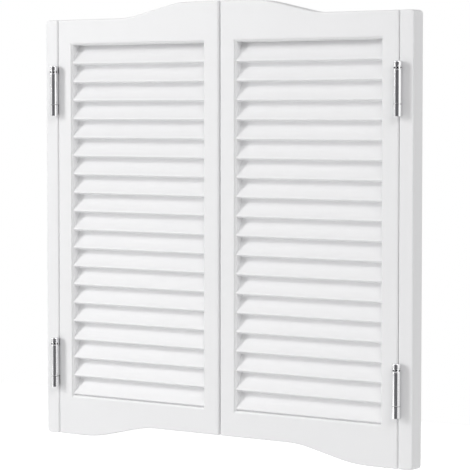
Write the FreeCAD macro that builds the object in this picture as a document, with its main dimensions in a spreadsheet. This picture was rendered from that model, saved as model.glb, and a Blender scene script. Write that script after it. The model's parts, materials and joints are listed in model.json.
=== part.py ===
"""Pair of louvred cafe doors on double-action spring hinges.

The origin lies midway between the two leaves, at mid thickness and at the level of the hanging strips' lower
ends. X runs to the right along the doors, Y to the back and Z up. Sizes are in millimetres. The right-hand
woodwork is built from the sizes and the left-hand woodwork is its mirror image. The hinge has no hand: its
parts are built once, about the middle of the gap that they fill or of a barrel, and placed four times.
"""

import FreeCAD, Part
import math
import os
import re

import Sketcher
from FreeCAD import Placement, Rotation, Vector

SIZES = {
    "opening_width": (914, "doorway that the strips and leaves fill"),
    "side_height": (884, "height of the strips and of the leaves beside them"),
    "stock_thickness": (35, "thickness of the strips and the leaves"),
    "strip_width": (32.5, "hanging strip, seen from the front"),
    "strip_corner_radius": (8, "outer corners of the strips"),
    "meeting_gap": (4.2, "between the two leaves"),
    "arris_radius": (3, "rounding of the outer edges"),
    "stile_width": (39, "upright of a leaf"),
    "top_rail_height": (54, "top rail at the hinge side"),
    "bottom_rail_height": (84, "bottom rail at the hinge side"),
    "ogee_rise": (30, "step of the curved edges, top and bottom"),
    "ogee_run": (193, "length of the S curve across the leaf"),
    "ogee_bulge_radius": (318, "arc of the S curve where the wood bulges"),
    "ogee_hollow_radius": (225, "arc of the S curve where the wood is hollow"),
    "ogee_flat": (65, "from the leaf's edge to the bulge, at the crown and at the foot"),
    "moulding_radius": (4.5, "quarter round along the louvre opening"),
    "moulding_step": (1.2, "step above the quarter round"),
    "slat_thickness": (8, "louvre slat"),
    "slat_edge_radius": (2.5, "rounded edges of a slat"),
    "slat_tilt": (32, "degrees from upright, lower edge to the front"),
    "slat_setback": (3, "from the leaf's faces to the slats"),
    "slat_lap": (1.6, "height that neighbouring slats share"),
    "slat_housing": (5, "depth of the pocket for a slat's end"),
    "slat_fit": (0.1, "clearance round a slat's end"),
    "slat_end_gap": (0.5, "between a slat's end and the pocket's floor"),
    "dowel_radius": (4, "dowel between rail and stile"),
    "dowel_length": (50, "half in the rail, half in the stile"),
    "dowel_fit": (0.05, "clearance round a dowel"),
    "dowel_end_gap": (1, "beyond each end of a dowel"),
    "dowel_inset": (14, "first dowel from the louvre opening"),
    "dowel_spacing": (24, "first dowel to second dowel"),
    "hinge_foot": (154, "middle of the lower hinge above the strip's lower end"),
    "hinge_head": (150, "middle of the upper hinge below the strip's upper end"),
    "plate_thickness": (1.2, "hinge plate"),
    "plate_play": (0.2, "between the web and the side flanges"),
    "plate_fit": (0.1, "clearance round a side flange let into the wood"),
    "plate_inset": (4.5, "from the leaf's far face to the side flange"),
    "plate_corner_radius": (4, "free corners of the side flange"),
    "plate_margin": (0.2, "from the leaf's near face to the side flange"),
    "web_margin": (1, "from the barrel's ends to the web"),
    "barrel_radius": (9, "hinge barrel"),
    "barrel_wall": (1.2, "wall of the rolled barrel"),
    "barrel_clearance": (0.7, "between the leaf's face and the barrel"),
    "barrel_offset": (3, "from the middle of the gap to the barrels, towards the strip"),
    "barrel_length": (106, "barrel with its cap"),
    "barrel_fit": (0.05, "running clearance in and on the barrel parts"),
    "barrel_joint": (0.2, "play between the parts of a barrel along its axis"),
    "lower_knuckle": (22.8, "lower knuckle of the side flange"),
    "upper_knuckle": (6.2, "upper knuckle of the side flange"),
    "cap_height": (3.2, "domed cap above the upper knuckle"),
    "cap_rounding": (2.6, "edge of the domed cap"),
    "collar_height": (7.5, "tension collar"),
    "collar_spigot": (3.5, "part of the collar inside the barrel"),
    "collar_hole_radius": (1.4, "tommy-bar hole in the collar"),
    "collar_hole_depth": (4.5, "tommy-bar hole in the collar"),
    "collar_hole_count": (8, "tommy-bar holes round the collar"),
    "collar_turn": (30, "degrees from X to the first tommy-bar hole"),
    "pin_radius": (2.5, "hinge pin"),
    "pin_seat": (4.2, "part of the pin's plug that the barrel turns on"),
    "pin_chamfer": (0.8, "lower edge of the pin's plug"),
    "spring_wire": (2.4, "wire of the torsion spring"),
    "spring_pitch": (3.6, "from turn to turn of the spring"),
    "spring_clearance": (0.6, "between the spring and the barrel"),
    "spring_play": (0.2, "at each end of the spring"),
    "screw_head_radius": (3.4, "countersunk flange screw"),
    "screw_shank_radius": (1.9, "countersunk flange screw"),
    "screw_length": (22, "countersunk flange screw"),
    "screw_point": (4, "tapered end of the screw"),
    "screw_fit": (0.05, "clearance round the screw"),
    "screw_recess_length": (3.6, "cross slots in the head"),
    "screw_recess_width": (0.9, "cross slots in the head"),
    "screw_recess_depth": (0.9, "cross slots in the head"),
    "screw_side_margin": (6, "from the flange's free side to the screws"),
    "screw_end_margin": (13.8, "from the flange's ends to the screws"),
}

WORKED_OUT = {
    "plate_inside": "plate_thickness / 2 + plate_play",
    "plate_outside": "plate_inside + plate_thickness",
    "hinge_gap": "2 * plate_inside",
    "leaf_width": "(opening_width - 2 * strip_width - 2 * hinge_gap - meeting_gap) / 2",
    "face": "stock_thickness / 2",
    "meeting_edge": "meeting_gap / 2",
    "hinge_edge": "meeting_edge + leaf_width",
    "hinge_line": "hinge_edge + hinge_gap / 2",
    "barrel_line": "hinge_line + barrel_offset",
    "strip_inside": "hinge_edge + hinge_gap",
    "strip_outside": "opening_width / 2",
    "crown_height": "side_height + ogee_rise",
    "opening_left": "meeting_edge + stile_width",
    "opening_right": "hinge_edge - stile_width",
    "opening_low": "bottom_rail_height",
    "opening_high": "side_height - top_rail_height",
    "moulding_shoulder": "face - moulding_step",
    "moulding_foot": "moulding_shoulder - moulding_radius",
    "ogee_radii": "ogee_bulge_radius + ogee_hollow_radius",
    "ogee_straight": "sqrt(ogee_run ^ 2 + (ogee_radii - ogee_rise) ^ 2 - ogee_radii ^ 2)",
    "ogee_angle": "atan(ogee_run / (ogee_radii - ogee_rise)) - atan(ogee_straight / ogee_radii)",
    "bulge_across": "ogee_bulge_radius * sin(ogee_angle)",
    "bulge_drop": "ogee_bulge_radius * (1 - cos(ogee_angle))",
    "hollow_across": "ogee_hollow_radius * sin(ogee_angle)",
    "hollow_drop": "ogee_hollow_radius * (1 - cos(ogee_angle))",
    "crown_start": "meeting_edge + ogee_flat",
    "crown_end": "crown_start + ogee_run",
    "foot_end": "hinge_edge - ogee_flat",
    "foot_start": "foot_end - ogee_run",
    "slat_core": "slat_thickness - 2 * slat_edge_radius",
    "slat_depth": "stock_thickness - 2 * slat_setback",
    "slat_flat": "(slat_depth - 2 * slat_edge_radius - slat_core * cos(slat_tilt)) / sin(slat_tilt)",
    "slat_height": "slat_flat * cos(slat_tilt) + slat_core * sin(slat_tilt) + 2 * slat_edge_radius",
    "slat_steps": "round((opening_high - opening_low - slat_height) / (slat_height - slat_lap))",
    "slat_margin": "slat_fit + slat_end_gap",
    "slat_travel": "opening_high - opening_low - slat_height - 2 * slat_margin",
    "first_slat": "opening_low + slat_margin + slat_height / 2",
    "slat_reach": "slat_housing - slat_end_gap",
    "lower_hinge": "hinge_foot",
    "upper_hinge": "side_height - hinge_head",
    "barrel_axis": "face + barrel_clearance + barrel_radius",
    "barrel_bore": "barrel_radius - barrel_wall",
    "barrel_filling": "barrel_bore - barrel_fit",
    "barrel_end": "barrel_length / 2",
    "knuckle_top": "lower_knuckle - barrel_end",
    "cap_seat": "barrel_end - cap_height",
    "upper_knuckle_low": "cap_seat - upper_knuckle",
    "collar_top": "upper_knuckle_low - barrel_joint",
    "collar_low": "collar_top - collar_height",
    "collar_middle": "(collar_low + collar_top) / 2",
    "tube_low": "knuckle_top + barrel_joint",
    "pin_seat_top": "knuckle_top + pin_seat",
    "pin_bore": "pin_radius + barrel_fit",
    "pin_top": "cap_seat - 2 * barrel_joint",
    "spring_radius": "barrel_bore - spring_clearance - spring_wire / 2",
    "spring_low": "pin_seat_top + spring_play + spring_wire / 2",
    "spring_high": "collar_low - collar_spigot - spring_play - spring_wire / 2",
    "plate_near": "face - plate_margin",
    "plate_far": "face - plate_inset",
    "screw_cone": "screw_head_radius - screw_shank_radius",
    "screw_column": "plate_far - screw_side_margin",
    "screw_row": "cap_seat - screw_end_margin",
}

FULL_TURN = 360
QUARTER_TURN = 90
TOLERANCE = 1e-4

doc = FreeCAD.newDocument("CafeDoors")


def fill_sheet(name, cells):
    """A spreadsheet whose column A says what each aliased cell in column B is."""
    sheet = doc.addObject("Spreadsheet::Sheet", name)
    for row, (alias, (content, note)) in enumerate(cells.items(), start=1):
        sheet.set(f"A{row}", note)
        sheet.set(f"B{row}", content)
        sheet.setAlias(f"B{row}", alias)
    return sheet


def expression(text):
    """Names the sheet of each size in a formula."""

    def in_sheet(match):
        word = match.group(0)
        if word in SIZES:
            return f"Dims.{word}"
        return f"Worked.{word}" if word in WORKED_OUT else word

    return re.sub(r"[a-z_]+", in_sheet, text)


fill_sheet("Dims", {alias: (str(size), note) for alias, (size, note) in SIZES.items()})
doc.recompute()
worked = fill_sheet("Worked", {
    alias: (f"={expression(formula).replace('Worked.', '')}", alias.replace("_", " "))
    for alias, formula in WORKED_OUT.items()
})
doc.recompute()


def value(text):
    """The number that a formula comes to."""
    result = worked.evalExpression(expression(text))
    return float(getattr(result, "Value", result))


def bind(thing, target, text):
    thing.setExpression(target, expression(text))


# Sketches


def attach(body, role, name, lift="0", turn="0", height="0"):
    """A sketch on an origin plane of the body, lifted and turned about the plane's normal."""
    sketch = body.newObject("Sketcher::SketchObject", name)
    plane = next(feature for feature in body.Origin.OriginFeatures if feature.Role == role)
    sketch.AttachmentSupport = (plane, [""])
    sketch.MapMode = "FlatFace"
    sketch.AttachmentOffset = Placement(Vector(0, 0, 0), Rotation(Vector(0, 0, 1), value(turn)))
    bind(sketch, "AttachmentOffset.Base.y", height)
    bind(sketch, "AttachmentOffset.Base.z", lift)
    if turn != "0":
        bind(sketch, "AttachmentOffset.Rotation.Angle", turn)
    return sketch


def fix(sketch, geometry, point, x, y):
    """Holds a point of the sketch at two formulas."""
    origin = (-1, 1)
    for kind, text in (("DistanceX", x), ("DistanceY", y)):
        index = sketch.addConstraint(Sketcher.Constraint(kind, *origin, geometry, point, value(text)))
        bind(sketch, f"Constraints[{index}]", text)


def fix_radius(sketch, geometry, radius):
    index = sketch.addConstraint(Sketcher.Constraint("Radius", geometry, value(radius)))
    bind(sketch, f"Constraints[{index}]", radius)


def arc_between(start, end, radius, side):
    """The arc from start to end whose centre lies to the left (side 1) or right (side -1) of that line."""
    chord = end - start
    left = Vector(-chord.y, chord.x, 0).normalize()
    centre = (start + end) * 0.5 + left * side * math.sqrt(radius**2 - chord.Length**2 / 4)
    first, last = (start, end) if side > 0 else (end, start)
    angles = [math.atan2(point.y - centre.y, point.x - centre.x) for point in (first, last)]
    return Part.ArcOfCircle(Part.Circle(centre, Vector(0, 0, 1), radius), *angles)


def outline(sketch, corners, arcs=None):
    """A closed outline through corners given as formulas. arcs maps an edge's number to (radius, side)."""
    arcs = arcs or {}
    points = [Vector(value(x), value(y), 0) for x, y in corners]
    ends = []
    for n, start in enumerate(points):
        end = points[(n + 1) % len(points)]
        if n in arcs:
            radius, side = arcs[n]
            index = sketch.addGeometry(arc_between(start, end, value(radius), side))
            ends.append((index, 1, 2) if side > 0 else (index, 2, 1))
        else:
            ends.append((sketch.addGeometry(Part.LineSegment(start, end)), 1, 2))
    for n, (index, first, last) in enumerate(ends):
        following = ends[(n + 1) % len(ends)]
        sketch.addConstraint(Sketcher.Constraint("Coincident", index, last, following[0], following[1]))
        fix(sketch, index, first, *corners[n])
        if n in arcs:
            fix_radius(sketch, index, arcs[n][0])


def rectangle(sketch, left, right, low, high):
    outline(sketch, [(left, low), (right, low), (right, high), (left, high)])


def circle(sketch, x, y, radius):
    centre = Vector(value(x), value(y), 0)
    index = sketch.addGeometry(Part.Circle(centre, Vector(0, 0, 1), value(radius)))
    fix(sketch, index, 3, x, y)
    fix_radius(sketch, index, radius)


# Features


def new_body(label, several=False):
    body = doc.addObject("PartDesign::Body", label)
    body.AllowCompound = several
    return body


def extrude(body, kind, sketch, length, symmetric=False, reverse=False):
    """A PartDesign::Pad or PartDesign::Pocket of the sketch."""
    feature = body.newObject(f"PartDesign::{kind}", f"{sketch.Name}_{kind.lower()}")
    feature.Profile = sketch
    feature.SideType = "Symmetric" if symmetric else "One side"
    feature.Reversed = reverse
    bind(feature, "Length", length)
    doc.recompute()
    return feature


def rod(body, name, low, high, radius, x="0", y="0"):
    """An upright round pad between two heights."""
    sketch = attach(body, "XY_Plane", name, lift=low)
    circle(sketch, x, y, radius)
    return extrude(body, "Pad", sketch, f"{high} - ({low})")


def bore(body, name, low, high, radius, x="0", y="0"):
    """An upright round pocket between two heights."""
    sketch = attach(body, "XY_Plane", name, lift=low)
    circle(sketch, x, y, radius)
    return extrude(body, "Pocket", sketch, f"{high} - ({low})", reverse=True)


def turn_profile(body, name, lift, axis_y, corners):
    """Turns a flat profile about an axis along X, on which its first and its last corner lie.

    The corners are places along and across that axis.
    """
    sketch = attach(body, "XY_Plane", name, lift=lift)
    outline(sketch, [(along, f"{axis_y} + {across}") for along, across in corners])
    ends = [corners[0][0], corners[-1][0]]
    line = Part.LineSegment(*[Vector(value(end), value(axis_y), 0) for end in ends])
    axis = sketch.addGeometry(line, True)
    for point, end in enumerate(ends, start=1):
        fix(sketch, axis, point, end, axis_y)
    turned = body.newObject("PartDesign::Revolution", f"{name}_turned")
    turned.Profile = sketch
    turned.ReferenceAxis = (sketch, ["Axis0"])
    turned.Angle = FULL_TURN
    doc.recompute()
    return turned


def origin_axis(body, role):
    line = next(feature for feature in body.Origin.OriginFeatures if feature.Role == role)
    return (line, [""])


def row_of(body, features, axis, count, span, second_axis=None, second_count="1", second_span="1"):
    """Repeats features along one or two origin axes."""
    pattern = body.newObject("PartDesign::LinearPattern", f"{body.Name}_row")
    pattern.Originals = features
    pattern.Direction = origin_axis(body, axis)
    bind(pattern, "Length", span)
    bind(pattern, "Occurrences", count)
    if second_axis:
        pattern.Direction2 = origin_axis(body, second_axis)
        bind(pattern, "Length2", second_span)
        bind(pattern, "Occurrences2", second_count)
    body.Tip = pattern
    doc.recompute()
    return pattern


def round_edges(body, feature, radius, wanted, kind="Fillet", size="Radius"):
    """Rounds or chamfers the edges of a feature for which wanted(edge) is true."""
    names = [f"Edge{n}" for n, edge in enumerate(feature.Shape.Edges, start=1) if wanted(edge)]
    rounding = body.newObject(f"PartDesign::{kind}", f"{body.Name}_{kind.lower()}")
    rounding.Base = (feature, names)
    bind(rounding, size, radius)
    doc.recompute()
    return rounding


def near(a, b):
    return abs(a - b) < TOLERANCE


def on_faces(edge):
    """True for an edge that lies in the leaf's front or back face."""
    box = edge.BoundBox
    return near(box.YMin, box.YMax) and near(abs(box.YMin), value("face"))


def upright_at(edge, place):
    """True for an edge that lies wholly at one place along X."""
    box = edge.BoundBox
    return near(box.XMin, box.XMax) and near(box.XMin, value(place))


def level_at(edge, place):
    """True for an edge that lies wholly at one height."""
    box = edge.BoundBox
    return near(box.ZMin, box.ZMax) and near(box.ZMin, value(place))


nodes = {}


def keep(label, feature):
    """Names a finished sub-part."""
    feature.Label = label
    nodes[label] = feature
    return feature


def cut(base, *tools):
    """Takes the tools from the base, one after another."""
    for tool in tools:
        result = doc.addObject("Part::Cut", f"{base.Name}_less_{tool.Name}")
        result.Base = base
        result.Tool = tool
        base = result
    return base


def placed(name, sources, x="0", y="0", z="0", turn="0"):
    """The sources, turned about Z and moved."""
    group = doc.addObject("Part::Compound", name)
    group.Links = sources
    group.Placement = Placement(Vector(0, 0, 0), Rotation(Vector(0, 0, 1), value(turn)))
    for axis, text in (("x", x), ("y", y), ("z", z)):
        bind(group, f"Placement.Base.{axis}", text)
    return group


def at_both_hinges(name, source, gap, turn="0"):
    """One copy of the source at each of the two hinges of a leaf."""
    low = placed(f"{name}_low", [source], x=gap, z="lower_hinge", turn=turn)
    high = placed(f"{name}_high", [source], x=gap, z="upper_hinge", turn=turn)
    return placed(name, [low, high])


def mirrored(name, source):
    """The left-hand twin of a right-hand sub-part."""
    twin = doc.addObject("Part::Mirroring", name)
    twin.Source = source
    twin.Normal = Vector(1, 0, 0)
    return twin


# Woodwork


def moulded_prism(name, role, turn, low, high, end_low, end_high):
    """The louvre opening seen along one axis: its sides step and curve back from both faces."""
    body = new_body(name)
    start, end = f"{end_low} - moulding_radius", f"{end_high} + moulding_radius"
    sketch = attach(body, role, f"{name}_section", lift=start, turn=turn)
    beyond = "face + moulding_radius"
    wide_low, wide_high = f"{low} - moulding_radius", f"{high} + moulding_radius"
    across = [
        (wide_low, f"-({beyond})"),
        (wide_high, f"-({beyond})"),
        (wide_high, "-moulding_shoulder"),
        (high, "-moulding_foot"),
        (high, "moulding_foot"),
        (wide_high, "moulding_shoulder"),
        (wide_high, beyond),
        (wide_low, beyond),
        (wide_low, "moulding_shoulder"),
        (low, "moulding_foot"),
        (low, "-moulding_foot"),
        (wide_low, "-moulding_shoulder"),
    ]
    outline(sketch, across, {n: ("moulding_radius", -1) for n in (2, 4, 8, 10)})
    extrude(body, "Pad", sketch, f"{end} - ({start})")
    return body


def moulded_opening():
    """The louvre opening with mitred mouldings: what two crossing prisms share."""
    sides = ("opening_left", "opening_right")
    ends = ("opening_low", "opening_high")
    shared = doc.addObject("Part::Common", "moulded_opening")
    shared.Base = moulded_prism("opening_upright", "XY_Plane", "0", *sides, *ends)
    shared.Tool = moulded_prism("opening_level", "YZ_Plane", "90", *ends, *sides)
    return shared


def slat_row(name, reach, growth="0"):
    """The louvre slats, or the pockets for their ends, from one stile to the other."""
    body = new_body(name, several=True)
    start, end = f"opening_left - {reach}", f"opening_right + {reach}"
    sketch = attach(body, "YZ_Plane", f"{name}_section", lift=start, turn="-slat_tilt", height="first_slat")
    flat, core = "slat_flat / 2", "slat_core / 2"
    tip = f"{flat} + slat_edge_radius + {growth}"
    side = f"{core} + slat_edge_radius + {growth}"
    corners = [
        (f"-({core})", f"-({tip})"),
        (core, f"-({tip})"),
        (side, f"-({flat})"),
        (side, flat),
        (core, tip),
        (f"-({core})", tip),
        (f"-({side})", flat),
        (f"-({side})", f"-({flat})"),
    ]
    outline(sketch, corners, {n: (f"slat_edge_radius + {growth}", 1) for n in (1, 3, 5, 7)})
    slat = extrude(body, "Pad", sketch, f"{end} - ({start})")
    row_of(body, [slat], "Z_Axis", "slat_steps + 1", "slat_travel")
    return body


def dowel_set(name, end_gap="0", growth="0"):
    """Two dowels at each joint of the leaf, or the holes for them."""
    body = new_body(name, several=True)
    half = f"(dowel_length / 2 + {end_gap})"
    for side in ("opening_left", "opening_right"):
        sketch = attach(body, "YZ_Plane", f"{name}_{side}", lift=f"{side} - {half}")
        for step in ("dowel_inset", "dowel_inset + dowel_spacing"):
            circle(sketch, "0", f"opening_low - ({step})", f"dowel_radius + {growth}")
            circle(sketch, "0", f"opening_high + {step}", f"dowel_radius + {growth}")
        extrude(body, "Pad", sketch, f"2 * {half}")
    return body


def stile_blank(name, joint, outside, low, high):
    """An upright whose edges are rounded except along the side that meets the rails."""
    body = new_body(name)
    sketch = attach(body, "XZ_Plane", f"{name}_front")
    left, right = sorted((joint, outside), key=value)
    rectangle(sketch, left, right, low, high)
    blank = extrude(body, "Pad", sketch, "stock_thickness", symmetric=True)

    def free(edge):
        return not upright_at(edge, joint) and (on_faces(edge) or upright_at(edge, outside))

    round_edges(body, blank, "arris_radius", free)
    return body


def rail_blank(name, level, corners, arcs):
    """A rail whose curved edge is rounded on both faces. level is the height of its louvre side."""
    body = new_body(name)
    sketch = attach(body, "XZ_Plane", f"{name}_front")
    outline(sketch, corners, arcs)
    blank = extrude(body, "Pad", sketch, "stock_thickness", symmetric=True)

    def free(edge):
        at_joint = upright_at(edge, "opening_left") or upright_at(edge, "opening_right")
        return on_faces(edge) and not at_joint and not level_at(edge, level)

    round_edges(body, blank, "arris_radius", free)
    return body


def top_rail_blank():
    """Full height by the meeting stile, then an S curve down to the hinge side's height."""
    corners = [
        ("opening_left", "opening_high"),
        ("opening_right", "opening_high"),
        ("opening_right", "side_height"),
        ("crown_end", "side_height"),
        ("crown_end - hollow_across", "side_height + hollow_drop"),
        ("crown_start + bulge_across", "crown_height - bulge_drop"),
        ("crown_start", "crown_height"),
        ("opening_left", "crown_height"),
    ]
    arcs = {3: ("ogee_hollow_radius", -1), 5: ("ogee_bulge_radius", 1)}
    return rail_blank("top_rail_blank", "opening_high", corners, arcs)


def bottom_rail_blank():
    """Cut away by the meeting stile, then an S curve down to the leaf's foot at the hinge side."""
    corners = [
        ("opening_left", "ogee_rise"),
        ("foot_start", "ogee_rise"),
        ("foot_start + hollow_across", "ogee_rise - hollow_drop"),
        ("foot_end - bulge_across", "bulge_drop"),
        ("foot_end", "0"),
        ("opening_right", "0"),
        ("opening_right", "opening_low"),
        ("opening_left", "opening_low"),
    ]
    arcs = {1: ("ogee_hollow_radius", -1), 3: ("ogee_bulge_radius", 1)}
    return rail_blank("bottom_rail_blank", "opening_low", corners, arcs)


def strip_blank():
    """The fixed strip that carries the hinges, with round outer corners."""
    body = new_body("strip_blank")
    sketch = attach(body, "XZ_Plane", "strip_front")
    inward = "strip_outside - strip_corner_radius"
    corners = [
        ("strip_inside", "0"),
        (inward, "0"),
        ("strip_outside", "strip_corner_radius"),
        ("strip_outside", "side_height - strip_corner_radius"),
        (inward, "side_height"),
        ("strip_inside", "side_height"),
    ]
    outline(sketch, corners, {n: ("strip_corner_radius", 1) for n in (1, 3)})
    blank = extrude(body, "Pad", sketch, "stock_thickness", symmetric=True)
    round_edges(body, blank, "arris_radius", lambda edge: on_faces(edge) or upright_at(edge, "strip_inside"))
    return body


# Hinge


def side_flange(name, barrel_x):
    """Plate with a lower and an upper knuckle, on the front barrel and the left side of the gap."""
    body = new_body(name)
    sketch = attach(body, "YZ_Plane", f"{name}_plate", lift="-plate_outside")
    corners = [
        ("-barrel_axis", "-cap_seat"),
        ("plate_far - plate_corner_radius", "-cap_seat"),
        ("plate_far", "-cap_seat + plate_corner_radius"),
        ("plate_far", "cap_seat - plate_corner_radius"),
        ("plate_far - plate_corner_radius", "cap_seat"),
        ("-barrel_axis", "cap_seat"),
        ("-barrel_axis", "upper_knuckle_low"),
        ("-plate_near", "upper_knuckle_low"),
        ("-plate_near", "knuckle_top"),
        ("-barrel_axis", "knuckle_top"),
    ]
    outline(sketch, corners, {n: ("plate_corner_radius", 1) for n in (1, 3)})
    extrude(body, "Pad", sketch, "plate_thickness")
    centre = (barrel_x, "-barrel_axis")
    rod(body, f"{name}_lower_knuckle", "-barrel_end", "knuckle_top", "barrel_radius", *centre)
    bore(body, f"{name}_lower_bore", "-barrel_end", "knuckle_top", "barrel_bore", *centre)
    rod(body, f"{name}_upper_knuckle", "upper_knuckle_low", "barrel_end", "barrel_radius", *centre)
    bored = bore(body, f"{name}_upper_bore", "upper_knuckle_low", "cap_seat", "pin_bore", *centre)
    round_edges(body, bored, "cap_rounding", lambda edge: level_at(edge, "barrel_end"))
    return body


def flange_seat():
    """The shallow recess in the wood for a side flange, open to the gap and to the barrel's side."""
    body = new_body("flange_seat")
    sketch = attach(body, "YZ_Plane", "seat_outline", lift="-plate_outside")
    far, end, corner = "(plate_far + plate_fit)", "(cap_seat + plate_fit)", "(plate_corner_radius + plate_fit)"
    corners = [
        ("-barrel_axis", f"-{end}"),
        (f"{far} - {corner}", f"-{end}"),
        (far, f"-{end} + {corner}"),
        (far, f"{end} - {corner}"),
        (f"{far} - {corner}", end),
        ("-barrel_axis", end),
    ]
    outline(sketch, corners, {n: (corner, 1) for n in (1, 3)})
    extrude(body, "Pad", sketch, "plate_outside")
    return body


def link_web():
    """Web in the middle of the left-hand gap that joins the front and the rear barrel."""
    body = new_body("link_web")
    sketch = attach(body, "YZ_Plane", "web_plate")
    rectangle(sketch, "-barrel_axis", "barrel_axis", "tube_low + web_margin", "collar_low - web_margin")
    extrude(body, "Pad", sketch, "plate_thickness", symmetric=True)
    for name, y in (("front", "-barrel_axis"), ("rear", "barrel_axis")):
        rod(body, f"web_{name}_tube", "tube_low", "collar_low", "barrel_radius", "-barrel_offset", y)
        bore(body, f"web_{name}_bore", "tube_low", "collar_low", "barrel_bore", "-barrel_offset", y)
    return body


def hinge_pin():
    """Pin with a plug that closes the lower knuckle and bears the barrel."""
    body = new_body("hinge_pin")
    rod(body, "pin_plug", "-barrel_end", "pin_seat_top", "barrel_filling")
    whole = rod(body, "pin_rod", "pin_seat_top", "pin_top", "pin_radius")
    round_edges(body, whole, "pin_chamfer", lambda edge: level_at(edge, "-barrel_end"), "Chamfer", "Size")
    return body


def tension_collar():
    """Collar that winds the spring, with a spigot in the barrel and tommy-bar holes round it."""
    body = new_body("tension_collar")
    foot = "collar_low - collar_spigot"
    rod(body, "collar_spigot", foot, "collar_low", "barrel_filling")
    rod(body, "collar_ring", "collar_low", "collar_top", "barrel_radius")
    bore(body, "collar_bore", foot, "collar_top", "pin_bore")
    sketch = attach(body, "YZ_Plane", "collar_hole", lift="barrel_radius")
    circle(sketch, "0", "collar_middle", "collar_hole_radius")
    hole = extrude(body, "Pocket", sketch, "collar_hole_depth")
    ring = body.newObject("PartDesign::PolarPattern", "collar_holes")
    ring.Originals = [hole]
    ring.Axis = origin_axis(body, "Z_Axis")
    ring.Angle = FULL_TURN
    bind(ring, "Occurrences", "collar_hole_count")
    body.Tip = ring
    doc.recompute()
    return body


def torsion_spring():
    """Spring round the pin, between the pin's plug and the collar."""
    coil = doc.addObject("Part::Helix", "spring_line")
    bind(coil, "Pitch", "spring_pitch")
    bind(coil, "Height", "spring_high - spring_low")
    bind(coil, "Radius", "spring_radius")
    bind(coil, "Placement.Base.z", "spring_low")
    wire = doc.addObject("Part::Circle", "spring_wire")
    wire.Placement = Placement(Vector(0, 0, 0), Rotation(Vector(1, 0, 0), QUARTER_TURN))
    bind(wire, "Radius", "spring_wire / 2")
    bind(wire, "Placement.Base.x", "spring_radius")
    bind(wire, "Placement.Base.z", "spring_low")
    spring = doc.addObject("Part::Sweep", "torsion_spring")
    spring.Sections = [wire]
    spring.Spine = (coil, ["Edge1"])
    spring.Solid = True
    spring.Frenet = True
    return spring


def flange_screws(name, growth="0", slotted=True):
    """The four countersunk screws of a side flange, or the holes for them."""
    body = new_body(name, several=True)
    head = "-plate_inside"
    section = [
        (f"{head} - screw_length - {growth}", "0"),
        (f"{head} - screw_length + screw_point", f"(screw_shank_radius + {growth})"),
        (f"{head} - screw_cone", f"(screw_shank_radius + {growth})"),
        (head, f"(screw_head_radius + {growth})"),
        (head, "0"),
    ]
    features = [turn_profile(body, f"{name}_half", "-screw_row", "-screw_column", section)]
    if slotted:
        arm, half = "screw_recess_length / 2", "screw_recess_width / 2"
        for way, (wide, high) in {"level": (arm, half), "upright": (half, arm)}.items():
            sketch = attach(body, "YZ_Plane", f"{name}_{way}_slot", lift=head)
            rectangle(
                sketch, f"-screw_column - {wide}", f"-screw_column + {wide}",
                f"-screw_row - {high}", f"-screw_row + {high}",
            )
            features.append(extrude(body, "Pocket", sketch, "screw_recess_depth"))
    columns = ("Y_Axis", "2", "2 * screw_column")
    rows = ("Z_Axis", "2", "2 * screw_row")
    row_of(body, features, *columns, *rows)
    return body


# Assembly of the woodwork

opening = moulded_opening()
housings = slat_row("slat_housings", "slat_housing", growth="slat_fit")
dowel_holes = dowel_set("dowel_holes", end_gap="dowel_end_gap", growth="dowel_fit")
hinge_stile = stile_blank("hinge_stile_blank", "opening_right", "hinge_edge", "0", "side_height")
meeting_stile = stile_blank("meeting_stile_blank", "opening_left", "meeting_edge", "ogee_rise", "crown_height")

right_wood = {
    "meeting_stile": cut(meeting_stile, opening, housings, dowel_holes),
    "top_rail": cut(top_rail_blank(), opening, dowel_holes),
    "bottom_rail": cut(bottom_rail_blank(), opening, dowel_holes),
    "louvre_slats": slat_row("slats", "slat_reach"),
    "dowels": dowel_set("dowels"),
}
for label, piece in right_wood.items():
    keep(f"right_{label}", piece)
    keep(f"left_{label}", mirrored(f"left_{label}", piece))

# Assembly of the hinges. In the left-hand gap the strip's flange turns on the front barrel and the door's
# flange on the rear one. In the right-hand gap the same hinge is turned half round. The wood that a flange is
# let into, here still uncut, is the strip or the hinge stile

screw_holes = flange_screws("screw_holes", growth="screw_fit", slotted=False)
seat = flange_seat()
strip_flange = cut(side_flange("strip_flange", "-barrel_offset"), screw_holes)
door_flange = cut(side_flange("door_flange", "barrel_offset"), screw_holes)
web = link_web()
pin = hinge_pin()
collar = tension_collar()
spring = torsion_spring()
screws = flange_screws("screws")

strip = strip_blank()
hinge_stile = cut(hinge_stile, opening, housings, dowel_holes)

HALF_TURN = "180"
BARRELS = {"front": "-barrel_axis", "rear": "barrel_axis"}
FLANGE_TURNS = {"front": "0", "rear": HALF_TURN}
WOOD = {"strip": "strip", "door": "hinge_stile"}


def place_hinge(name, height, gap, barrel_line, web_turn, carriers):
    """One hinge. carriers maps strip and door to the barrel that each one's flange turns on."""
    for carrier, flange in (("strip", strip_flange), ("door", door_flange)):
        barrel = carriers[carrier]
        label = f"{name}_{carrier}"
        turn = FLANGE_TURNS[barrel]
        keep(f"{label}_flange", placed(f"{label}_flange", [flange], x=gap, z=height, turn=turn))
        keep(f"{label}_pin", placed(f"{label}_pin", [pin], x=barrel_line, y=BARRELS[barrel], z=height))
    keep(f"{name}_link", placed(f"{name}_link", [web], x=gap, z=height, turn=web_turn))
    for group, source, turn in (("collars", collar, "collar_turn"), ("springs", spring, "0")):
        pair = [
            placed(f"{name}_{barrel}_{group}", [source], x=barrel_line, y=y, z=height, turn=turn)
            for barrel, y in BARRELS.items()
        ]
        keep(f"{name}_{group}", placed(f"{name}_{group}", pair))


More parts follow.
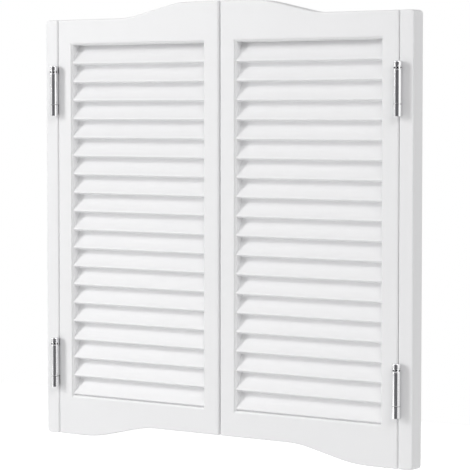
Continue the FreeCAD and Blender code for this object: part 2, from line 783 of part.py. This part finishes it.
def let_in(side, carrier, wood, gap, turn):
    """The screws of the two flanges that one piece of wood carries, and the wood with their seats and holes."""
    name = f"{side}_{carrier}"
    keep(f"{name}_screws", at_both_hinges(f"{name}_screws", screws, gap, turn))
    seats = at_both_hinges(f"{name}_seats", seat, gap, turn)
    holes = at_both_hinges(f"{name}_screw_holes", screw_holes, gap, turn)
    keep(f"{side}_{WOOD[carrier]}", cut(wood, seats, holes))


uncut = {
    "left": {"strip": mirrored("left_strip_blank", strip), "door": mirrored("left_hinge_stile", hinge_stile)},
    "right": {"strip": strip, "door": hinge_stile},
}
for side, gap, barrel_line, web_turn, carriers in (
    ("left", "-hinge_line", "-barrel_line", "0", {"strip": "front", "door": "rear"}),
    ("right", "hinge_line", "barrel_line", HALF_TURN, {"strip": "rear", "door": "front"}),
):
    for level in ("lower", "upper"):
        place_hinge(f"{side}_{level}", f"{level}_hinge", gap, barrel_line, web_turn, carriers)
    for carrier, barrel in carriers.items():
        let_in(side, carrier, uncut[side][carrier], gap, FLANGE_TURNS[barrel])

doc.recompute()

# Checks and files

for thing in doc.Objects:
    if {"Invalid", "Error"} & set(thing.State):
        raise RuntimeError(f"{thing.Label} failed: {thing.State}")
for label, feature in nodes.items():
    if feature.Shape.isNull() or not feature.Shape.isValid():
        raise RuntimeError(f"{label} has no valid shape")

os.makedirs("parts", exist_ok=True)
for label, feature in nodes.items():
    feature.Shape.exportStep(f"parts/{label}.step")
    print(f"{label}: {len(feature.Shape.Solids)} solids, {feature.Shape.Volume:.1f} mm3")
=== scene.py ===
# %% [markdown]
# # Louvred cafe doors on double-action spring hinges
# A pair of white doors hangs between two narrow strips. The woodwork is sprayed with satin paint, the hinges are
# chrome, and everything that holds the doors up is already modelled at its real size. This notebook gives those
# parts their finish, adds the small shapes that a paint shop or a plating shop leaves behind, and sets up a plain
# studio round them.

# %% Load the doors
import json
import math

import bmesh
import bpy
import numpy as np
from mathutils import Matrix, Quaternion, Vector


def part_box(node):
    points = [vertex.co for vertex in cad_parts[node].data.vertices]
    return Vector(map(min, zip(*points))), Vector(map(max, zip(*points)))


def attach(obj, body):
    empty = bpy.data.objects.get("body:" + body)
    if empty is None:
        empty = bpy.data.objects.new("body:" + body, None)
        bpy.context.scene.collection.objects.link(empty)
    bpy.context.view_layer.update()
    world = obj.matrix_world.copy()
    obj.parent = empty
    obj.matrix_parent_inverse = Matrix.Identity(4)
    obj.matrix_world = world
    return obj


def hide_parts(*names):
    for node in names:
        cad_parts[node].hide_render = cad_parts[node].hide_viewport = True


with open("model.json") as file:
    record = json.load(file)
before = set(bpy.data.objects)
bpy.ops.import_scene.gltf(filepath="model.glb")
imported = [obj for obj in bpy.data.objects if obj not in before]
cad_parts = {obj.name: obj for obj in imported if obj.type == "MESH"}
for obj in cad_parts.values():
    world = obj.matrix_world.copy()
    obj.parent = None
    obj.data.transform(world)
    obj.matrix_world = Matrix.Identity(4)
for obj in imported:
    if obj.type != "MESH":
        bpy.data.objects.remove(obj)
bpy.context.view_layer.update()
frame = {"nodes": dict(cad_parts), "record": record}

NODES = frame["nodes"]
BODY_OF = {node: body for body, members in frame["record"]["behaviour"]["bodies"].items() for node in members}

# %% [markdown]
# ## Shader sums as plain Python
# A shader is a net of nodes. Written out link by link it is hard to read, so one small class stands for a number
# that varies over the surface, and ordinary sums on it add the Math nodes.


# %% A number that varies over the surface
class Varying:
    """One output socket of a shader node that carries a number."""

    def __init__(self, shader, socket):
        self.shader = shader
        self.socket = socket

    def _sum(self, operation, other):
        return self.shader.number("ShaderNodeMath", {"operation": operation}, self, other)

    def __add__(self, other):
        return self._sum("ADD", other)

    def __mul__(self, other):
        return self._sum("MULTIPLY", other)

    __radd__ = __add__
    __rmul__ = __mul__


print("a varying number has", [name for name in vars(Varying) if name.endswith(("add__", "mul__"))])

# %% [markdown]
# ## A material, node by node
# Every finish here is one Principled BSDF whose colour, roughness and bumps are fed by noise. A second class holds
# such a material. One method adds any node, and the others are short names for what the finishes have in common.


# %% A material
class Shader:
    """A material with one Principled BSDF, built node by node."""

    def __init__(self, name):
        self.material = bpy.data.materials.new(name)
        self.material.use_nodes = True
        self.tree = self.material.node_tree
        self.surface = self.tree.nodes["Principled BSDF"]

    def set(self, socket, value):
        """Gives a socket a fixed value or links it to a varying one."""
        if isinstance(value, Varying):
            self.tree.links.new(value.socket, socket)
        elif isinstance(value, bpy.types.NodeSocket):
            self.tree.links.new(value, socket)
        else:
            socket.default_value = value

    def node(self, kind, settings, *values, **named):
        """Adds a node: its settings first, then the values or links of its sockets, by order or by name."""
        node = self.tree.nodes.new(kind)
        for setting, value in settings.items():
            setattr(node, setting, value)
        for socket, value in zip(node.inputs, values):
            self.set(socket, value)
        for name, value in named.items():
            self.set(node.inputs[name.replace("_", " ")], value)
        return node

    def number(self, kind, settings, *values, **named):
        """Adds a node and returns its first output as a varying number."""
        return Varying(self, self.node(kind, settings, *values, **named).outputs[0])

    def place(self, stretch):
        """Object coordinates, multiplied by a factor along each axis."""
        coordinates = self.node("ShaderNodeTexCoord", {})
        mapping = self.node("ShaderNodeMapping", {}, Vector=coordinates.outputs["Object"], Scale=stretch)
        return mapping.outputs[0]

    def noise(self, stretch, detail=2.0):
        """Soft random numbers from 0 to 1, whose size along each axis is one over the stretch, in metres."""
        return self.number("ShaderNodeTexNoise", {}, Vector=self.place(stretch), Scale=1.0, Detail=detail)

    def blend(self, share, first, second):
        """A colour between two others."""
        mix = self.node("ShaderNodeMix", {"data_type": "RGBA"})
        self.set(mix.inputs["Factor"], share)
        self.set(mix.inputs["A"], (*first, 1.0))
        self.set(mix.inputs["B"], (*second, 1.0))
        return mix.outputs["Result"]

    def relief(self, height, depth):
        """Bumps whose full height is depth metres, as a normal."""
        bump = self.node("ShaderNodeBump", {}, Strength=1.0, Distance=depth, Height=height)
        return bump.outputs["Normal"]

    def finish(self, **sockets):
        """Sets the surface's own sockets and returns the material."""
        for name, value in sockets.items():
            self.set(self.surface.inputs[name.replace("_", " ")], value)
        return self.material


print("a shader has", [name for name in vars(Shader) if not name.startswith("_")])

# %% [markdown]
# ## Satin white paint
# The doors are sprayed with a water-based satin enamel. It isn't flat: it has a fine ripple from the spray gun,
# and very low ridges where the grain stands up under the film. Image textures would need unwrapping, so both
# come from noise in the doors' own space: round noise for the ripple and long thin noise for the grain. A stretch
# of 420 gives ripples a little over 2 mm wide, because the size is one metre over the stretch.

# %% Paint
PAINT_WHITE = (0.89, 0.89, 0.895)
PAINT_DEEP = (0.86, 0.86, 0.87)
PAINT_ROUGHNESS, PAINT_SPREAD = 0.34, 0.12
GRAIN_ALONG, GRAIN_ACROSS = 14.0, 650.0
RIPPLE = 420.0
RIPPLE_SHARE = 0.6
CLOUDS = 4.0
FILM_DEPTH = 0.00006


def satin_paint(name, grain_axis):
    """Paint whose grain runs along one axis: noise that is long on that axis and thin on the others."""
    shader = Shader(name)
    stretch = [GRAIN_ACROSS] * 3
    stretch[grain_axis] = GRAIN_ALONG
    grain = shader.noise(stretch, detail=3.0)
    ripple = shader.noise([RIPPLE] * 3, detail=1.0)
    clouds = shader.noise([CLOUDS] * 3)
    return shader.finish(
        Base_Color=shader.blend(clouds, PAINT_DEEP, PAINT_WHITE),
        Roughness=PAINT_ROUGHNESS + PAINT_SPREAD * clouds,
        Normal=shader.relief(RIPPLE_SHARE * ripple + (1 - RIPPLE_SHARE) * grain, FILM_DEPTH),
    )


UPRIGHT_PAINT = satin_paint("satin_paint_upright", 2)
LEVEL_PAINT = satin_paint("satin_paint_level", 0)
print("made", UPRIGHT_PAINT.name, "and", LEVEL_PAINT.name)

# %% [markdown]
# ## Chrome and steel
# The hinges are drawn tube and pressed plate, polished along their length and plated. Chrome is a mirror that
# still shows faint polishing lines, so its roughness is low and varies a little with a soft haze, and the lines
# are bumps a few thousandths of a millimetre high. The same recipe with other colours and more roughness gives
# the zinc of the screws and the oiled steel of the springs.

# %% Chrome, zinc and spring steel
CHROME_BRIGHT = (0.78, 0.78, 0.79)
CHROME_DULL = (0.72, 0.72, 0.73)
LINES = [2500.0, 2500.0, 60.0]
HAZE = [90.0] * 3


def plated(name, bright, dull, smooth, rough, depth):
    """Polished metal: a haze between two colours and two roughnesses, and upright polishing lines of one depth."""
    shader = Shader(name)
    lines = shader.noise(LINES)
    haze = shader.noise(HAZE)
    return shader.finish(
        Base_Color=shader.blend(haze, dull, bright),
        Metallic=1.0,
        Roughness=smooth + (rough - smooth) * haze,
        Normal=shader.relief(lines, depth),
    )


CHROME = plated("polished_chrome", CHROME_BRIGHT, CHROME_DULL, 0.07, 0.14, 0.000004)
ZINC = plated("zinc_plate", (0.66, 0.67, 0.69), (0.55, 0.56, 0.58), 0.28, 0.42, 0.00001)
SPRING_STEEL = plated("oiled_spring_steel", (0.34, 0.34, 0.36), (0.24, 0.24, 0.25), 0.25, 0.4, 0.00001)
print("made", CHROME.name, "and", ZINC.name, "and", SPRING_STEEL.name)

# %% [markdown]
# ## Bare beech
# Dowels hold the rails to the stiles. They are glued in bare, so they show only in a cut, but they still get their
# own wood: streaks along the dowel in two browns, from the same noise as the paint's grain.

# %% Bare wood
BEECH_LIGHT = (0.70, 0.50, 0.30)
BEECH_DARK = (0.52, 0.33, 0.18)
STREAKS = [25.0, 500.0, 500.0]
PORE_DEPTH = 0.00005


def bare_wood(name):
    """Beech: rings seen from the side as long streaks of two browns."""
    shader = Shader(name)
    streaks = shader.noise(STREAKS, detail=4.0)
    return shader.finish(
        Base_Color=shader.blend(streaks, BEECH_DARK, BEECH_LIGHT),
        Roughness=0.55 + 0.15 * streaks,
        Normal=shader.relief(streaks, PORE_DEPTH),
    )


BEECH = bare_wood("bare_beech")
print("made", BEECH.name)

# %% [markdown]
# ## Give each part its finish
# A part keeps its mesh, and only its material slot changes. The last word of its name says what it is. Rails and
# slats have their grain along the doors, stiles and strips have it upright.

# %% Dress the parts
FINISHES = {
    "stile": UPRIGHT_PAINT,
    "strip": UPRIGHT_PAINT,
    "rail": LEVEL_PAINT,
    "slats": LEVEL_PAINT,
    "dowels": BEECH,
    "flange": CHROME,
    "pin": CHROME,
    "link": CHROME,
    "collars": CHROME,
    "springs": SPRING_STEEL,
    "screws": ZINC,
}
for name, part in NODES.items():
    finish = FINISHES[name.split("_")[-1]]
    part.data.materials.clear()
    part.data.materials.append(finish)

print(len(NODES), "parts dressed")

# %% [markdown]
# ## Hinge barrels
# The hinges are what the eye goes to, and on real ones every edge of the rolled tube is tumbled smooth before it
# is plated. A bevel modifier could round them, but it tilts the shading of a long tube, and a mirror shows that at
# once. So the tubes, the collars and the pins are turned here as surfaces of their own, with a rounded lip on each
# edge. The plates and knuckles that are screwed to the wood stay as they are.


# %% An outline with rounded corners
def softened(corners, radius, steps=5):
    """A closed outline whose corners are rounded.

    A corner c is reached along a and left along b, turning by the angle w. The round is the arc that meets both
    lines at radius * tan(w / 2) from c. One more point as far again on each line keeps the straight parts flat
    under smooth shading.
    """
    here = np.asarray(corners, float)
    along = np.roll(here, -1, axis=0) - here
    after = along / np.linalg.norm(along, axis=1, keepdims=True)
    before = np.roll(after, 1, axis=0)
    turn = np.arccos(np.clip((before * after).sum(axis=1), -1.0, 1.0))[:, None]
    radius = np.broadcast_to(radius, len(here))[:, None]
    reach = radius * np.tan(turn / 2)
    inward = (after - before) / np.linalg.norm(after - before, axis=1, keepdims=True)
    centre = here + inward * radius / np.cos(turn / 2)
    start = (here - reach * before - centre)[:, None]
    end = (here + reach * after - centre)[:, None]
    share = np.linspace(0.0, 1.0, steps)[None, :, None]
    swing = turn[:, None]
    arc = centre[:, None] + (np.sin((1 - share) * swing) * start + np.sin(share * swing) * end) / np.sin(swing)
    first = (here - 2 * reach * before)[:, None]
    last = (here + 2 * reach * after)[:, None]
    return np.concatenate([first, arc, last], axis=1).reshape(-1, 2)


soft_square = softened([(0.0, 0.0), (1.0, 0.0), (1.0, 1.0), (0.0, 1.0)], 0.1)
print("a softened square has", len(soft_square), "points")

# %% [markdown]
# ## Surfaces as grids
# The Spin tool or the Screw modifier could turn an outline into a round body. As a numpy array the same body takes
# a few lines, and it is known exactly where each point lies, so two grids can share the points of their border.


# %% Grids of points
def grid(points, closed_rows=True, closed_columns=True):
    """Rows and columns of points and the four-sided faces between them. A closed grid also joins its ends."""
    rows, columns = points.shape[:2]
    i = np.arange(rows if closed_rows else rows - 1)[:, None]
    j = np.arange(columns if closed_columns else columns - 1)[None, :]
    next_i, next_j = (i + 1) % rows, (j + 1) % columns
    corners = [i * columns + j, next_i * columns + j, next_i * columns + next_j, i * columns + next_j]
    faces = np.stack([corner + 0 * i + 0 * j for corner in corners], axis=-1).reshape(-1, 4)
    return points.reshape(-1, 3), faces


def turned(outline, centre, closed=True, sides=96):
    """An outline of distances r from an upright axis and heights h, carried round that axis.

    x = r cos(angle), y = r sin(angle) and z = h, each measured from the centre.
    """
    angle = np.linspace(0.0, 2 * np.pi, sides, endpoint=False)[:, None]
    distance, height = np.asarray(outline, float).T
    points = np.stack([distance * np.cos(angle), distance * np.sin(angle), height + 0 * angle], axis=-1)
    return grid(points + centre, closed_columns=closed)


soft_ring = turned(soft_square + (5.0, 0.0), (0.0, 0.0, 0.0))
print("turned round an axis it has", len(soft_ring[0]), "points and", len(soft_ring[1]), "faces")

# %% [markdown]
# ## From grids to a piece
# A finished piece sits at the origin with its place in its mesh, as the parts of the model do. It hangs from the
# body that carries it, so it swings along when a door opens, and it hides the part of the model that it replaces.

# %% A piece
MM = 0.001
TOUCHING = 1e-7
SHARP = math.radians(40)


def piece(name, body, patches, materials, replaced):
    """One object from several grids in millimetres, each with the number of its material.

    Points that lie on each other are merged, so grids that share a border are joined there. Edges sharper than 40
    degrees stay crisp and all others are shaded smooth.
    """
    counts = [len(points) for (points, _), _ in patches]
    starts = np.cumsum([0] + counts[:-1])
    points = np.concatenate([points for (points, _), _ in patches]) * MM
    faces = np.concatenate([faces + start for ((_, faces), _), start in zip(patches, starts)])
    slots = np.concatenate([np.full(len(faces), slot) for (_, faces), slot in patches])
    mesh = bpy.data.meshes.new(name)
    mesh.from_pydata(points.tolist(), [], faces.tolist())
    mesh.polygons.foreach_set("material_index", slots)
    for material in materials:
        mesh.materials.append(material)
    shape = bmesh.new()
    shape.from_mesh(mesh)
    bmesh.ops.remove_doubles(shape, verts=shape.verts, dist=TOUCHING)
    shape.to_mesh(mesh)
    shape.free()
    mesh.shade_smooth()
    mesh.set_sharp_from_angle(angle=SHARP)
    thing = bpy.data.objects.new(name, mesh)
    bpy.context.scene.collection.objects.link(thing)
    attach(thing, body)
    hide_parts(*replaced)


print("edges over", round(math.degrees(SHARP)), "degrees stay sharp")

# %% [markdown]
# ## Tubes and pins
# A barrel is a rolled tube round a pin. The tube turns on the pin, which is fixed in the knuckles of a flange, and
# the torsion spring is wound between them. Both are round, so each is an outline carried round an axis. The
# measures are in millimetres: distances from the barrel's axis and heights from the middle of the hinge. The tube
# starts 0.6 above the one in the model, which leaves a fine gap at the joint with the lower knuckle. The gap is
# dark in part from real shade and in part from the plug behind it, whose steel is painted near black as shade.

# %% Measures of a barrel
BARREL = 9.0
BORE = 7.8
FIT = 0.05
PIN = 2.5
LINK_LOW, TUBE_HIGH = -30.0, 35.9
JOINT_LINE = 0.6
TUBE_LOW = LINK_LOW + JOINT_LINE
PLUG_LOW, PLUG_HIGH, PIN_HIGH = -53.0, -26.0, 49.4
DOME_HEIGHT, DOME_FOOT, DOME_RINGS = 1.4, 2.4, 12
OUTER_LIP, INNER_LIP = 0.45, 0.2


def tube(centre):
    """The rolled tube between the knuckle and the collar."""
    corners = [(BORE, TUBE_LOW), (BARREL, TUBE_LOW), (BARREL, TUBE_HIGH), (BORE, TUBE_HIGH)]
    return turned(softened(corners, [INNER_LIP, OUTER_LIP, OUTER_LIP, INNER_LIP]), centre)


def plug_and_pin(centre):
    """The pin that the barrel turns on, as (grid, material number) pairs: a plated dome below, bare steel above.

    The dome closes the lower knuckle. Its height above its lowest point is DOME_HEIGHT (r / radius)^2. The bare
    steel above is painted near black as shade, so the joint line below the tube reads dark.
    """
    radius = BORE - FIT
    r = np.linspace(0.0, radius, DOME_RINGS)
    dome = np.stack([r, PLUG_LOW + DOME_HEIGHT * (r / radius) ** 2], axis=-1)
    shank = [
        dome[-1], (radius, PLUG_LOW + DOME_FOOT), (radius, PLUG_HIGH),
        (PIN, PLUG_HIGH), (PIN, PIN_HIGH), (0.0, PIN_HIGH),
    ]
    return [(turned(part, centre, closed=False, sides=64), slot) for slot, part in enumerate((dome, shank))]


print("the tube is", round(TUBE_HIGH - TUBE_LOW, 1), "mm long and has", len(tube(np.zeros(3))[0]), "points")

# %% [markdown]
# ## Tension collars
# A pin is put into the holes of the collar to wind the spring. Plating hardly reaches into the holes, and their
# insides are painted near black as shade. A boolean cut would leave long thin triangles that spoil the mirror, so
# the wall round each hole is a patch of rings: the outer ring is the patch's square border, the inner ones are the
# hole's circles.

# %% Measures of a collar
COLLAR_FOOT, COLLAR_LOW, COLLAR_HIGH = 32.4, 35.9, 43.4
COLLAR_LIP = 0.35
COLLAR_TURN = math.radians(30)
HOLES = 8
HOLE = 1.8
HOLE_CHAMFER = 0.2
HOLE_DEPTH = 4.5
PER_SIDE = 12
RING_SHARES = (0.0, 0.3, 0.6, 0.85, 1.0)


def square_ring(half_width, low, high):
    """Points round a rectangle, PER_SIDE to each side, anticlockwise from its lower left corner."""
    step = np.arange(PER_SIDE) / PER_SIDE
    across = (2 * step - 1) * half_width
    up = low + (high - low) * step
    sides = [
        (across, low + 0 * step), (half_width + 0 * step, up),
        (-across, high + 0 * step), (-half_width + 0 * step, low + high - up),
    ]
    return np.concatenate([np.stack(side, axis=-1) for side in sides])


def hole_patch(turn, low, high):
    """The part of the collar's wall round one hole, as rings from its border to the hole's floor.

    A ring lies between the border and the hole's edge by a share s, (1 - s) border + s edge, or it is a circle of
    its own depth. A place u along the wall and v up it becomes R cos(u / R) - depth along the hole, R sin(u / R)
    across it and v.
    """
    middle = (low + high) / 2
    border = square_ring(math.pi * BARREL / HOLES, low, high)
    toward = border - (0.0, middle)
    toward = toward / np.linalg.norm(toward, axis=1, keepdims=True)
    edge = (0.0, middle) + toward * (HOLE + HOLE_CHAMFER)
    wall = [((1 - share) * border + share * edge, 0.0) for share in RING_SHARES]
    inside = [
        ((0.0, middle) + toward * HOLE, HOLE_CHAMFER),
        ((0.0, middle) + toward * HOLE, HOLE_DEPTH),
        ((0.0, middle) + toward * 0.0, HOLE_DEPTH),
    ]

    def placed(rings):
        rows = []
        for ring, depth in rings:
            u, v = ring.T
            along = BARREL * np.cos(u / BARREL) - depth
            across = BARREL * np.sin(u / BARREL)
            rows.append(np.stack([
                along * math.cos(turn) - across * math.sin(turn),
                along * math.sin(turn) + across * math.cos(turn),
                v,
            ], axis=-1))
        return np.stack(rows, axis=1)

    return placed(wall + inside[:1]), placed(inside)


print("a hole lies in a patch", round(2 * math.pi * BARREL / HOLES, 2), "mm wide")


# %% Collar
def collar(centre, turn):
    """The collar as (grid, material number) pairs: plated rim and wall, and dark holes.

    The middle of a round lip lies (1 - sin 45) of the lip's radius in from each side. The holes' near-black
    insides are painted shade.
    """
    lip, middle = COLLAR_LIP, 0.29 * COLLAR_LIP
    rim = [
        (BARREL, COLLAR_HIGH - lip), (BARREL - middle, COLLAR_HIGH - middle), (BARREL - lip, COLLAR_HIGH),
        (PIN + FIT, COLLAR_HIGH), (PIN + FIT, COLLAR_FOOT), (BORE - FIT, COLLAR_FOOT), (BORE - FIT, COLLAR_LOW),
        (BARREL - lip, COLLAR_LOW), (BARREL - middle, COLLAR_LOW + middle), (BARREL, COLLAR_LOW + lip),
    ]
    points, faces = turned(rim, (0.0, 0.0, 0.0), closed=False, sides=HOLES * PER_SIDE)
    half_step = math.pi / HOLES
    c, s = math.cos(turn + half_step), math.sin(turn + half_step)
    points = points @ np.array([[c, s, 0.0], [-s, c, 0.0], [0.0, 0.0, 1.0]])
    patches = [((points + centre, faces), 0)]
    for hole in range(HOLES):
        plated_part, painted_shade_part = hole_patch(turn + 2 * hole * half_step, COLLAR_LOW + lip, COLLAR_HIGH - lip)
        patches.append((grid(plated_part + centre, closed_columns=False), 0))
        # The inside of each hole gets the near-black painted shade.
        patches.append((grid(painted_shade_part + centre, closed_columns=False), 1))
    return patches


print("a collar is made of", len(collar(np.zeros(3), COLLAR_TURN)), "grids")

# %% [markdown]
# ## Link plate
# One plate joins the two tubes of a hinge and lies in the gap between strip and door. A plain box would do while
# the door is closed, but an open door shows the plate, with the soft edges and round corners of pressed steel.

# %% Plate
PLATE_LIP = 0.25
PLATE_HALF_THICKNESS = 0.6
PLATE_REACH = 19.3
PLATE_CORNER = 0.6
PLATE_SET_IN = 1.0
PLATE_FROM_BARRELS = 3.0


def link_plate(x, low, high):
    """The plate between the two tubes: rounded rectangles from one face to the other, with softened edges.

    The first and last rectangles lie inside the flat faces and keep them flat under smooth shading.
    """
    lip, face = PLATE_LIP, PLATE_HALF_THICKNESS
    steps = [(-face, 3 * lip), (-face, lip), (lip - face, 0.0)]
    steps += [(-offset, inset) for offset, inset in reversed(steps)]
    layers = []
    for offset, inset in steps:
        half, bottom, top = PLATE_REACH - inset, low + inset, high - inset
        corners = [(-half, bottom), (half, bottom), (half, top), (-half, top)]
        outline = softened(corners, PLATE_CORNER, steps=4)
        layers.append(np.column_stack([np.full(len(outline), x + offset), outline]))
    first, last = (np.broadcast_to((x + side, 0.0, (low + high) / 2), layers[0].shape) for side in (-face, face))
    return grid(np.stack([first, *layers, last], axis=0), closed_rows=False)


print("the plate is", 2 * PLATE_HALF_THICKNESS, "mm thick and", 2 * PLATE_REACH, "mm deep")

# %% [markdown]
# ## Put the barrels on the hinges
# Each link's box in the model gives the line of its barrels, so the new pieces land on the old ones. A hinge has
# one barrel in front of the door and one behind it. The pin that the strip holds is in front on the left and
# behind on the right, so each pin's own box says which barrel it belongs to.

# %% Build the barrels of the four hinges
# Near-black steel for the insides of the collar holes and the plug shank: painted shade, far darker than real bare
# steel.
UNPLATED_SHADE_BLACK = plated("unplated_steel_painted_shade", (0.05, 0.05, 0.052), (0.03, 0.03, 0.032), 0.5, 0.6, 0.00001)

for side, toward_gap in (("left", 1), ("right", -1)):
    for level in ("lower", "upper"):
        hinge = f"{side}_{level}"
        low, high = [np.array(corner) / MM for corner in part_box(f"{hinge}_link")]
        line, height = (low[0] + high[0]) / 2, low[2] - LINK_LOW
        front = np.array([line, low[1] + BARREL, height])
        rear = np.array([line, high[1] - BARREL, height])
        web = link_plate(line + toward_gap * PLATE_FROM_BARRELS, low[2] + PLATE_SET_IN, high[2] - PLATE_SET_IN)
        tubes = [(tube(front), 0), (tube(rear), 0), (web, 0)]
        link_body = BODY_OF[f"{hinge}_link"]
        piece(f"{hinge}_tubes", link_body, tubes, [CHROME], [f"{hinge}_link"])
        rings = collar(front, COLLAR_TURN) + collar(rear, COLLAR_TURN)
        piece(f"{hinge}_wound_collars", link_body, rings, [CHROME, UNPLATED_SHADE_BLACK], [f"{hinge}_collars"])
        for carrier in ("strip", "door"):
            node = f"{hinge}_{carrier}_pin"
            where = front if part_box(node)[0].y < 0 else rear
            piece(f"{hinge}_{carrier}_plug", BODY_OF[node], plug_and_pin(where), [CHROME, UNPLATED_SHADE_BLACK], [node])

# %% [markdown]
# ## Studio floor
# The doors hang in white space above a white floor that keeps their shadow. More light would make a floor white,
# but it would wash out the doors as well. So this one glows a little, and only the camera, mirrors and glass see
# the glow.

# %% Floor
FLOOR_DEPTH = -1.2
FLOOR_HALF = 7.9
FLOOR_GLOW = 0.66


def floor():
    """A wide square below the doors that looks white where it is lit and keeps their shadow."""
    corners = [(x * FLOOR_HALF, y * FLOOR_HALF, FLOOR_DEPTH) for x, y in ((-1, -1), (1, -1), (1, 1), (-1, 1))]
    mesh = bpy.data.meshes.new("floor")
    mesh.from_pydata(corners, [], [(0, 1, 2, 3)])
    thing = bpy.data.objects.new("floor", mesh)
    bpy.context.scene.collection.objects.link(thing)
    shader = Shader("floor_white")
    path = shader.node("ShaderNodeLightPath", {})
    seen = sum(Varying(shader, path.outputs[f"Is {kind} Ray"]) for kind in ("Camera", "Glossy", "Transmission"))
    shader.finish(
        Base_Color=(0.8, 0.8, 0.8, 1.0),
        Roughness=0.9,
        Emission_Color=(1.0, 1.0, 1.0, 1.0),
        Emission_Strength=FLOOR_GLOW * seen,
    )
    mesh.materials.append(shader.material)


floor()
print("floor", 2 * FLOOR_HALF, "m wide")

# %% [markdown]
# ## Lamps
# A tall soft box from the left draws the shadows, a second one from the upper right opens them, a weak one lights
# the end face of the strip, and one behind the doors shines through between the slats. They are area lamps, for
# soft edges, and each is set by the brightness it gives, so that it can be moved without a new guess at its watts.


# %% Soft boxes
def lamp(name, place, target, width, height, light, dip=0.0):
    """A soft box. light is how bright a white surface facing it at the target becomes, 1 being white.

    A lamp of P watts at a distance d makes that surface P cos(dip) / (pi d)^2 bright. A lamp that dips below its
    target by some degrees lights the doors' feet as well as their nearer tops.
    """
    dip = math.radians(dip)
    aim = Vector(target) - Vector(place)
    data = bpy.data.lights.new(name, "AREA")
    data.shape = "RECTANGLE"
    data.size, data.size_y = width, height
    data.energy = light * (math.pi * aim.length) ** 2 / math.cos(dip)
    thing = bpy.data.objects.new(name, data)
    thing.location = place
    thing.rotation_euler = (aim.to_track_quat("-Z", "Y") @ Quaternion((1.0, 0.0, 0.0), -dip)).to_euler()
    bpy.context.scene.collection.objects.link(thing)


MIDDLE = (0.0, 0.0, 0.45)
lamp("key", (-6.47, -6.0, 3.1), MIDDLE, 2.1, 5.7, 0.44, dip=35.0)
lamp("fill", (12.0, -9.4, 10.4), MIDDLE, 7.5, 7.5, 0.28)
lamp("side", (7.0, -0.8, 0.8), MIDDLE, 2.6, 2.6, 0.04)
lamp("back", (-0.8, 8.0, 1.6), MIDDLE, 6.0, 6.0, 0.52)
print({light.name: round(light.energy) for light in bpy.data.lights}, "watts")

# %% [markdown]
# ## Something dark for the chrome
# Chrome in a white room vanishes, because white is all that it can mirror. In a studio, dark card beside it gives
# it its edges. Two dark boards do that here, one in front of the doors and one behind. Only mirrors see them, so
# they take no light from the paint.

# %% Dark boards
BOARD_GREY = (0.20, 0.20, 0.21, 1.0)


def dark_screen(name, centre, width, low, high):
    """An upright dark board that only mirrors can see, turned towards the doors."""
    x, y = centre
    across = Vector((-y, x)).normalized() * width / 2
    corners = [
        (x - across.x, y - across.y, low), (x + across.x, y + across.y, low),
        (x + across.x, y + across.y, high), (x - across.x, y - across.y, high),
    ]
    mesh = bpy.data.meshes.new(name)
    mesh.from_pydata(corners, [], [(0, 1, 2, 3)])
    mesh.materials.append(Shader(name).finish(Base_Color=BOARD_GREY, Roughness=0.8))
    thing = bpy.data.objects.new(name, mesh)
    bpy.context.scene.collection.objects.link(thing)
    thing.visible_camera = False
    thing.visible_diffuse = False
    thing.visible_shadow = False
    thing.visible_transmission = False


SCREEN_WIDTH = 6.8
SCREEN_LOW, SCREEN_HIGH = FLOOR_DEPTH + 0.01, 3.5
dark_screen("dark_room", (1.37, -3.97), SCREEN_WIDTH, SCREEN_LOW, SCREEN_HIGH)
dark_screen("dark_wall", (-1.37, 3.97), SCREEN_WIDTH, SCREEN_LOW, SCREEN_HIGH)
print("boards", SCREEN_WIDTH, "m wide and", round(SCREEN_HIGH - SCREEN_LOW, 2), "m high")

# %% [markdown]
# ## White room
# The world gives a third of full light from all sides. The camera, mirrors and glass see it at strength 1, which
# is plain white.


# %% White world
def white_room(strength):
    """A white world that shows as pure white and lights the doors with the given strength."""
    world = bpy.data.worlds.new("white_room")
    bpy.context.scene.world = world
    world.use_nodes = True
    tree = world.node_tree
    background = tree.nodes["Background"]
    path = tree.nodes.new("ShaderNodeLightPath")
    seen = path.outputs["Is Camera Ray"]
    for kind in ("Is Glossy Ray", "Is Transmission Ray"):
        either = tree.nodes.new("ShaderNodeMath")
        either.operation = "MAXIMUM"
        tree.links.new(seen, either.inputs[0])
        tree.links.new(path.outputs[kind], either.inputs[1])
        seen = either.outputs[0]
    level = tree.nodes.new("ShaderNodeMix")
    level.inputs["A"].default_value = strength
    level.inputs["B"].default_value = 1.0
    tree.links.new(seen, level.inputs["Factor"])
    tree.links.new(level.outputs[0], background.inputs["Strength"])
    background.inputs["Color"].default_value = (1.0, 1.0, 1.0, 1.0)


ROOM_LIGHT = 0.33
white_room(ROOM_LIGHT)
bpy.context.scene.view_settings.view_transform = "Standard"
print("the room lights the doors with", ROOM_LIGHT)

# %% [markdown]
# ## Camera
# A long lens keeps the leaves' sizes nearly equal. The camera stands to the right of the doors and a little above
# their middle, and aims at a point in the plane of their front faces.

# %% Camera
VIEW_ANGLE = math.radians(35.4)
PITCH = math.radians(3.2)
DISTANCE = 4.448
AIM = Vector((0.0395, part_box("right_hinge_stile")[0].y, 0.441))
FOCAL = 169.0
SENSOR = 36.0

camera_data = bpy.data.cameras.new("camera")
camera_data.lens = FOCAL
camera_data.sensor_width = SENSOR
camera = bpy.data.objects.new("camera", camera_data)
bpy.context.scene.collection.objects.link(camera)
direction = Vector((
    -math.sin(VIEW_ANGLE) * math.cos(PITCH), math.cos(VIEW_ANGLE) * math.cos(PITCH), -math.sin(PITCH)
))
camera.location = AIM - direction * DISTANCE / math.cos(PITCH)
camera.rotation_euler = direction.to_track_quat("-Z", "Y").to_euler()
bpy.context.scene.camera = camera
print("camera at", [round(x, 3) for x in camera.location])

# %% [markdown]
# ## Sizes
# The new pieces have to fill the same box as the parts they replace.
